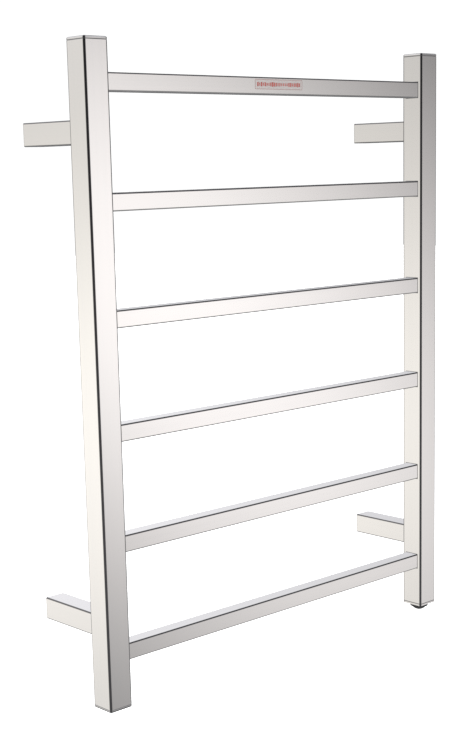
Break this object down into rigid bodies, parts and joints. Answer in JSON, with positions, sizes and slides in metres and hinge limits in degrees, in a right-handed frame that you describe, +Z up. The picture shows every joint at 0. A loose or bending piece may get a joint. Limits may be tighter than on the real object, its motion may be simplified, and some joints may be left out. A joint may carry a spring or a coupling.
{
  "type": "towel warmer rack",
  "caption": "Wall-mounted electric towel rack: two square uprights, square crossbars between them, square standoffs to the wall, and a push switch under one upright.",
  "frame": {"origin": "on the wall plane, midway between the four wall screws", "axes": "+Y into the wall, +Z up, +X to the right as seen by someone facing the rack"},
  "size_m": [0.55, 0.115, 0.7195],
  "materials": {
    "polished_steel": "mirror polished stainless steel",
    "zinc_plug": "die-cast, as cast",
    "dark_steel": "black oxide",
    "spring_steel": "bright drawn",
    "nickel_brass": "nickel-plated brass",
    "black_gloss": "glossy moulded",
    "black_nylon": "moulded nylon",
    "black_rubber": "soft rubber",
    "red_silicone": "silicone insulation",
    "white_sleeve": "glass-fibre sleeve",
    "white_ceramic": "glazed ceramic",
    "brown_lead": "wire insulation",
    "blue_lead": "wire insulation",
    "green_lead": "green and yellow wire insulation",
    "label_film": "clear film"
  },
  "bodies": {
    "rack": {"bottom_cap_left": "polished_steel", "button_spring": "spring_steel", "cable_grommet": "black_rubber", "cable_splice": "nickel_brass", "contact_pins": "nickel_brass", "crossbar_1": "polished_steel", "crossbar_2": "polished_steel", "crossbar_3": "polished_steel", "crossbar_4": "polished_steel", "crossbar_5": "polished_steel", "crossbar_6": "polished_steel", "earth_lug": "nickel_brass", "earth_nut": "spring_steel", "earth_stud": "spring_steel", "heating_cable": "red_silicone", "label_film": "label_film", "lead_earth": "green_lead", "lead_live": "brown_lead", "lead_neutral": "blue_lead", "lead_switched": "brown_lead", "left_upright": "polished_steel", "right_upright": "polished_steel", "set_screws": "dark_steel", "standoff_lower_left": "polished_steel", "standoff_lower_right": "polished_steel", "standoff_upper_left": "polished_steel", "standoff_upper_right": "polished_steel", "switch_bezel": "black_gloss", "switch_housing": "black_nylon", "switch_locknut": "nickel_brass", "switch_plate": "polished_steel", "terminal_block": "white_ceramic", "terminal_screws": "nickel_brass", "thermal_cutout": "white_sleeve", "top_cap_left": "polished_steel", "top_cap_right": "polished_steel", "wall_plug_lower_left": "zinc_plug", "wall_plug_lower_right": "zinc_plug", "wall_plug_upper_left": "zinc_plug", "wall_plug_upper_right": "zinc_plug"},
    "button": {"switch_button": "black_gloss", "button_seal": "black_rubber", "contact_bridge": "nickel_brass"}
  },
  "joints": [
    {"name": "switch_press", "type": "slide", "parent": "rack", "child": "button", "axis": [0, 0, 1], "range_m": [0, 0.002], "stiffness_N_per_m": 600, "springref_m": -0.002, "deforming": ["button_spring"]}
  ]
}
